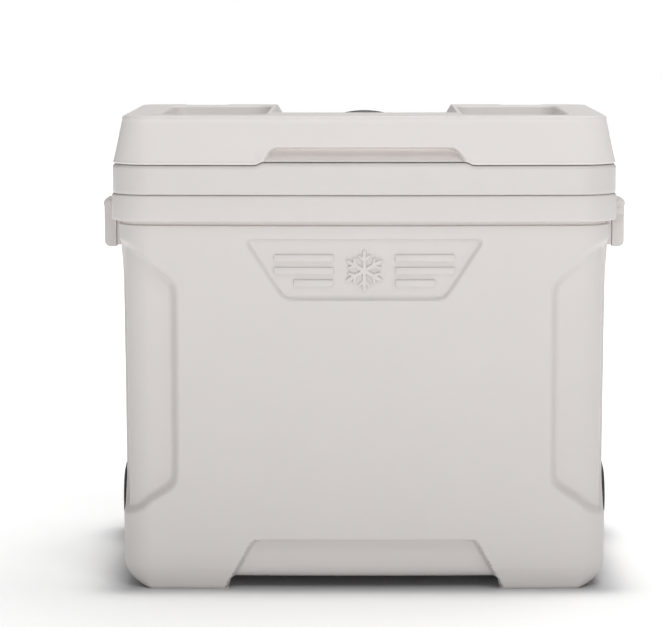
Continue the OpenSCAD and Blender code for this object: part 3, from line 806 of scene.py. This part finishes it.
def make_tow_grip():
    """The arched grip: a rounded section spun about the arch's centre, with a socket over each tube
    and room for the release button and its rod."""
    bottom, top = span("grip_front", 2)
    y0, y1 = span("grip_front", 1)[0], span("grip_back", 1)[1]
    middle = (y0 + y1) / 2
    top -= GRIP_DROP
    tube = (span("inner_tube_right", 0)[0] + span("inner_tube_right", 0)[1]) / 2
    deselect()
    place = (0, middle * MM, (top - GRIP_THICK / 2) * MM)
    bpy.ops.mesh.primitive_plane_add(size=MM, location=place, rotation=(0, math.pi / 2, 0))
    grip = named("tow_grip")
    edit(grip)
    bpy.ops.transform.resize(value=(1, y1 - y0, GRIP_THICK), center_override=place)
    pick(grip, "vertices", lambda p: True)
    bpy.ops.mesh.bevel(offset=GRIP_SOFT * MM, segments=7, affect="VERTICES")
    bpy.ops.mesh.select_all(action="SELECT")
    centre = (0, middle * MM, (top - ARCH_RADIUS) * MM)
    reach = math.radians(ARCH_HALF_ANGLE)
    bpy.ops.transform.rotate(value=-reach, orient_axis="Y", center_override=centre)
    bpy.ops.mesh.spin(steps=48, angle=2 * reach, center=centre, axis=(0, 1, 0))
    stop_editing()
    edit(grip)
    bpy.ops.mesh.select_all(action="DESELECT")
    bpy.ops.mesh.select_mode(type="EDGE")
    bpy.ops.mesh.select_non_manifold(extend=False)
    bpy.ops.mesh.edge_face_add()
    bpy.ops.mesh.select_all(action="SELECT")
    bpy.ops.mesh.remove_doubles(threshold=0.00001)
    bpy.ops.mesh.normals_make_consistent(inside=False)
    stop_editing()
    for side in (-1, 1):
        deselect()
        over_tube = (side * tube * MM, middle * MM, (bottom + 12) * MM)
        bpy.ops.mesh.primitive_cylinder_add(vertices=64, radius=11 * MM, depth=24 * MM, location=over_tube)
        socket = named("socket")
        edit(socket)
        pick(socket, "edges", lambda a, b: abs(a.z - b.z) < 0.1)
        bpy.ops.mesh.bevel(offset=1.5 * MM, segments=3, affect="EDGES")
        stop_editing()
        combine(grip, socket, "UNION")
    cut(grip, box("below", (-200, 200), (0, 300), (bottom - 60, bottom)))
    button = [span("release_button", axis) for axis in (0, 1, 2)]
    cut(grip, box("button_slot", (button[0][0] - 0.4, button[0][1] + 0.4),
                  (button[1][0] - 0.4, button[1][1] + 0.4), (bottom - 20, button[2][1] + 5), 1.5))
    rod = [span("release_rod", axis) for axis in (0, 1, 2)]
    cut(grip, box("rod_room", (rod[0][0] - 1, rod[0][1] + 1), (rod[1][0] - 1, rod[1][1] + 1),
                  (rod[2][0] - 1, rod[2][1] + 6)))
    modify(grip, "BEVEL", width=0.8 * MM, segments=2, limit_method="ANGLE", angle_limit=math.radians(50),
           use_clamp_overlap=True)
    smooth(grip, 40)
    give(grip, black_nylon)
    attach(grip, "handle_stage_2")
    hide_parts("grip_front", "grip_back")


def make_button():
    """The release button, with ridges for the fingers along its underside."""
    x, y, z = (span("release_button", axis) for axis in (0, 1, 2))
    button = box("grip_button_cap", x, y, z, 2)
    for i in range(-3, 4):
        cut(button, box("ridge_gap", (i * 5 - 0.7, i * 5 + 0.7), (y[0] - 1, y[1] + 1),
                        (z[0] - 1, z[0] + 1.2)))
    smooth(button, 40)
    give(button, grey_nylon)
    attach(button, "grip_button")
    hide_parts("release_button")


def spun(name, profile, place, side, turns=96):
    """A closed ring: a profile of (radius, distance outwards) pairs spun about the axle's line."""
    deselect()
    wide = len(profile)
    bpy.ops.mesh.primitive_grid_add(x_subdivisions=wide, y_subdivisions=turns, size=2)
    piece = named(name)
    for vertex in piece.data.vertices:
        i = round((vertex.co.x + 1) / 2 * wide) % wide
        a = (vertex.co.y + 1) * math.pi
        radius, out = profile[i]
        vertex.co = Vector((place[0] + side * out, place[1] + radius * math.cos(a),
                            place[2] + radius * math.sin(a))) * MM
    edit(piece)
    bpy.ops.mesh.select_all(action="SELECT")
    bpy.ops.mesh.remove_doubles(threshold=0.000005)
    bpy.ops.mesh.normals_make_consistent(inside=False)
    stop_editing()
    return piece


def make_wheel(name, side):
    """A moulded wheel: a black hub with six pockets and a tyre with a domed face and tread blocks."""
    place = hinge(f"wheel_{name}_spin")
    low, high = span("tyre_right", 0)
    radius = span("tyre_right", 2)[1] - place[2]
    hub = span("wheel_hub_right", 2)[1] - place[2]
    centre = abs(place[0])
    outer, inner = high - centre, low - centre
    rows = [(hub, inner + 2.5), (hub + 3, inner + 1), (radius - 7, inner + 1)]
    for i in range(6):
        a = math.radians(18 * i)
        rows.append((radius - 7 + 7 * math.sin(a), inner + 8 - 7 * math.cos(a)))
    rows += [(radius, -6), (radius, -4.6), (radius - 1.6, -4), (radius - 1.6, -2.6), (radius, -2),
             (radius, 2), (radius - 1.6, 2.6), (radius - 1.6, 4), (radius, 4.6), (radius, outer - 10.5)]
    for i in range(1, 8):
        a = math.radians(12 * i)
        rows.append((radius - 9 + 9 * math.cos(a), outer - 10.5 + 9.8 * math.sin(a)))
    rows += [(radius - 11, outer - 0.4), (hub + 1.8, outer - 0.05), (hub + 0.8, outer - 0.5)]
    rows += [(hub, outer - 2.6)]
    tyre = spun("wheel_tyre_" + name, rows, place, side)
    edit(tyre)
    step = math.pi / 48

    def block_gap(p, n):
        """One step in four round the tread's face is a gap between blocks."""
        a = math.atan2(p.z - place[2], p.y - place[1])
        far = math.hypot(p.z - place[2], p.y - place[1]) > radius - 0.5
        return far and round(a / step - 0.5) % 4 == 0 and abs(p.x - place[0]) < outer - 6

    pick(tyre, "polygons", block_gap)
    bpy.ops.mesh.extrude_region_move()
    bpy.ops.transform.resize(value=(1, (radius - 1.6) / radius, (radius - 1.6) / radius),
                             center_override=[c * MM for c in place])
    stop_editing()
    smooth(tyre, 35)
    give(tyre, wheel_rubber)
    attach(tyre, "wheel_" + name)
    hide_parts("tyre_" + name)

    bore = span("axle", 2)[1] - place[2] + 0.05
    web = outer - 4
    profile = [(bore, inner + 1), (10.5, inner + 1), (11.5, inner + 2), (11.5, -2), (hub - 5, -2),
               (hub - 4, inner + 3), (hub - 3, inner + 2), (hub, inner + 2), (hub, outer - 2.6),
               (hub - 1, outer - 1.6), (hub - 3, outer - 1.6), (hub - 4.2, web), (16.5, web), (12.6, web),
               (12, web - 1), (11, web - 3), (bore, web - 4.05)]
    cap = spun("wheel_rim_" + name, profile, place, side, 72)
    edit(cap)

    def pocket(p, n):
        """The web's outer face between two of the six spokes."""
        far = math.hypot(p.z - place[2], p.y - place[1])
        a = math.degrees(math.atan2(p.z - place[2], p.y - place[1])) % 60
        return n.x * side > 0.9 and 13 < far < hub - 4.5 and 9 < a < 51

    pick(cap, "polygons", pocket)
    bpy.ops.mesh.inset(thickness=0.6 * MM, depth=-0.5 * MM)
    bpy.ops.mesh.extrude_region_move(TRANSFORM_OT_translate={"value": (-side * 6 * MM, 0, 0)})
    stop_editing()
    smooth(cap, 35)
    give(cap, black_nylon)
    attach(cap, "wheel_" + name)
    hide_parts("wheel_hub_" + name)


def make_bail(name, side):
    """A folding side handle: two arms and a bar with a rounded section, cut in one moulding."""
    x = sorted(span("bail_" + name, 0))
    y = span("bail_" + name, 1)
    z = span("bail_" + name, 2)
    pin_x, _, pin_z = hinge(f"side_handle_{name}_swing")
    bail = box("carry_bail_" + name, x, y, (z[0] + 1.5, pin_z))
    edit(bail)
    pick(bail, "edges",
         lambda a, b: max(a.z, b.z) < z[0] + 2 and min(side * a.x, side * b.x) > abs(pin_x))
    bpy.ops.mesh.bevel(offset=5 * MM, segments=5, affect="EDGES")
    stop_editing()
    cut(bail, box("finger_room", (x[0] - 5, x[1] + 5), (y[0] + 12, y[1] - 12), (z[0] + 14, pin_z + 20), 3))
    for end in (y[0] + 6, y[1] - 6):
        deselect()
        bpy.ops.mesh.primitive_cylinder_add(vertices=48, radius=5.15 * MM, depth=12 * MM,
                                            location=(pin_x * MM, end * MM, pin_z * MM),
                                            rotation=(math.pi / 2, 0, 0))
        eye = named("eye")
        combine(bail, eye, "UNION")
    modify(bail, "BEVEL", width=2.4 * MM, segments=4, limit_method="ANGLE", angle_limit=math.radians(50),
           use_clamp_overlap=True)
    smooth(bail, 40)
    give(bail, white_polyethylene)
    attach(bail, "side_handle_" + name)
    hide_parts("bail_" + name)


def make_bail_seat(name, side):
    """What the folded bail lies against: a block behind each arm, and a cap over each pin's end."""
    pin_x, _, pin_z = hinge(f"side_handle_{name}_swing")
    arm = span("bail_" + name, 1)
    low = span("bail_" + name, 2)[0]
    ears = span("bail_mount_" + name, 1)
    inner, face = RIM_HALF - OVERHANG - 6, span("bail_right", 0)[0] - 0.4
    seat = box("bail_seat_" + name, sorted((side * inner, side * face)), (arm[0] + 0.3, arm[0] + 12),
               (low + 3, RIM_BOTTOM + 3), 0.7)
    combine(seat, box("block", sorted((side * inner, side * face)), (arm[1] - 12, arm[1] - 0.3),
                      (low + 3, RIM_BOTTOM + 3), 0.7), "UNION")
    for end, out in ((ears[0], -1), (ears[1], 1)):
        deselect()
        bpy.ops.mesh.primitive_cylinder_add(vertices=32, radius=3.4 * MM, depth=1.2 * MM,
                                            location=(pin_x * MM, (end + out * 0.5) * MM, pin_z * MM),
                                            rotation=(math.pi / 2, 0, 0))
        cap = named("pin_cap")
        edit(cap)
        pick(cap, "edges", lambda a, b: abs(a.y - b.y) < 0.1 and out * (a.y - end) > 0.8)
        bpy.ops.mesh.bevel(offset=0.8 * MM, segments=3, affect="EDGES")
        stop_editing()
        combine(seat, cap, "UNION")
    smooth(seat, 40)
    give(seat, white_polyethylene)
    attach(seat, "cooler_body")


make_body()
make_emblem()
make_liner()
make_lid()
make_hardware()
make_lid_pan()
make_tow_housing()
make_tow_grip()
make_button()
for name, side in (("left", -1), ("right", 1)):
    make_wheel(name, side)
    make_bail(name, side)
    make_bail_seat(name, side)

# ------------------------------------------------------------------ CAD pieces that stay

FINISHES = {
    "shell_white": white_polyethylene, "liner_white": white_liner_plastic,
    "insulation": polyurethane_foam, "black_plastic": black_nylon, "button_grey": grey_nylon,
    "wheel_tread": wheel_rubber, "tube_aluminium": drawn_aluminium, "pin_steel": zinc_steel,
}
for part in frame["record"]["subparts"]:
    give(frame["nodes"][part["node"]], FINISHES[part["material_slot"]])

# ------------------------------------------------------------------ floor, light and camera


# The floor's painted contact shadow and its painted glow change with the distance, in metres, from the
# cooler's footprint: its half sizes, and how far its middle stands behind the origin.
FOOTPRINT_HALVES, FOOTPRINT_BACK = (0.2, 0.155, 0), (0, 0.005, 0)


def make_stage():
    """A wide sheet of white paper. Close to the cooler its colour is darkened into a painted contact shadow
    and it has no glow of its own, which paints shade there; away from it a painted glow grows more and more, until
    it is as white as the room."""
    deselect()
    bpy.ops.mesh.primitive_plane_add(size=16, location=(0, 0, 0))
    floor = named("floor")
    paper, tree, shader, place = new_material("white_paper_floor")
    fibre = add(tree, "TexNoise", Vector=place, Scale=1 / (4 * MM), Detail=3.0)
    bump = add(tree, "Bump", Height=fibre.outputs["Fac"], Strength=0.05, Distance=0.1 * MM)
    tree.links.new(bump.outputs["Normal"], shader.inputs["Normal"])
    centred = add(tree, "VectorMath", {"operation": "SUBTRACT"}, Vector=place, Vector1=FOOTPRINT_BACK)
    folded = add(tree, "VectorMath", {"operation": "ABSOLUTE"}, Vector=centred.outputs[0])
    outside = add(tree, "VectorMath", {"operation": "SUBTRACT"}, Vector=folded.outputs[0],
                  Vector1=FOOTPRINT_HALVES)
    clamped = add(tree, "VectorMath", {"operation": "MAXIMUM"}, Vector=outside.outputs[0])
    away = add(tree, "VectorMath", {"operation": "LENGTH"}, Vector=clamped.outputs[0])
    # painted shade: the floor has no glow close to the cooler, so it reads shaded there
    near = add(tree, "MapRange", {"interpolation_type": "SMOOTHSTEP"}, Value=away.outputs["Value"],
               From_Min=0.0, From_Max=0.07, To_Min=0.0, To_Max=0.24)
    # painted light: the floor glows more and more away from the cooler, until it is as white as the room
    far = add(tree, "MapRange", {"interpolation_type": "SMOOTHSTEP"}, Value=away.outputs["Value"],
              From_Min=0.15, From_Max=1.5, To_Min=0.0, To_Max=0.7)
    painted_glow = add(tree, "Math", {"operation": "ADD"}, Value=near.outputs["Result"], Value1=far.outputs["Result"])
    tree.links.new(painted_glow.outputs[0], shader.inputs["Emission Strength"])
    shader.inputs["Emission Color"].default_value = (1, 1, 1, 1)
    # painted contact shadow: the floor's colour is darkened close to the cooler's footprint
    painted_contact_shadow = add(tree, "MapRange", {"interpolation_type": "SMOOTHSTEP"}, Value=away.outputs["Value"],
                  From_Min=0.0, From_Max=0.045)
    painted_shadow_tone = add(tree, "Mix", {"data_type": "RGBA"}, Factor=painted_contact_shadow.outputs["Result"])
    painted_shadow_tone.inputs[MIX_A].default_value = linear("c4c4c6")
    painted_shadow_tone.inputs[MIX_B].default_value = linear("fdfdfd")
    tree.links.new(painted_shadow_tone.outputs[MIX_RESULT], shader.inputs["Base Color"])
    shader.inputs["Roughness"].default_value = 0.8
    give(floor, paper)


def area_light(name, place, target, size, power):
    """A softbox at a place, turned towards its target, in metres and watts."""
    data = bpy.data.lights.new(name, "AREA")
    data.shape = "RECTANGLE"
    data.size, data.size_y = size
    data.energy = power
    light = bpy.data.objects.new(name, data)
    bpy.context.collection.objects.link(light)
    light.location = place
    light.rotation_euler = (Vector(target) - Vector(place)).to_track_quat("-Z", "Y").to_euler()


def make_light():
    """A white room: it lights the cooler evenly from all round and shows as plain white behind it."""
    world = bpy.data.worlds.new("white_room")
    bpy.context.scene.world = world
    world.use_nodes = True
    tree = world.node_tree
    room = tree.nodes["Background"]
    room.inputs["Color"].default_value = (1, 1, 1, 1)
    room.inputs["Strength"].default_value = 0.27
    seen = add(tree, "Background", Color=(1, 1, 1, 1), Strength=1.0)
    ray = add(tree, "LightPath")
    mix = add(tree, "MixShader", Fac=ray.outputs["Is Camera Ray"])
    tree.links.new(room.outputs[0], mix.inputs[1])
    tree.links.new(seen.outputs[0], mix.inputs[2])
    tree.links.new(mix.outputs[0], tree.nodes["World Output"].inputs["Surface"])
    area_light("softbox_over", (0.3, 0.8, 2.3), (0, 0.1, 0.2), (2.0, 2.0), 34)
    area_light("softbox_front", (0.7, -2.0, 3.0), (0, 0, 0.2), (1.8, 1.4), 27)
    area_light("softbox_low", (0.2, -3.2, 0.42), (0, 0, 0.1), (2.6, 0.8), 18)
    bpy.context.scene.view_settings.view_transform = "Standard"


def make_camera():
    """A long lens in front of the cooler, a little above its lid, looking slightly down."""
    data = bpy.data.cameras.new("camera")
    data.sensor_width = 36
    data.lens = 159.3
    data.shift_x = -0.0503
    camera = bpy.data.objects.new("camera", data)
    bpy.context.collection.objects.link(camera)
    camera.location = (0, FRONT * MM - 2.538, 0.5284)
    camera.rotation_euler = (math.radians(90 - 6.34), 0, 0)
    bpy.context.scene.camera = camera


make_stage()
make_light()
make_camera()
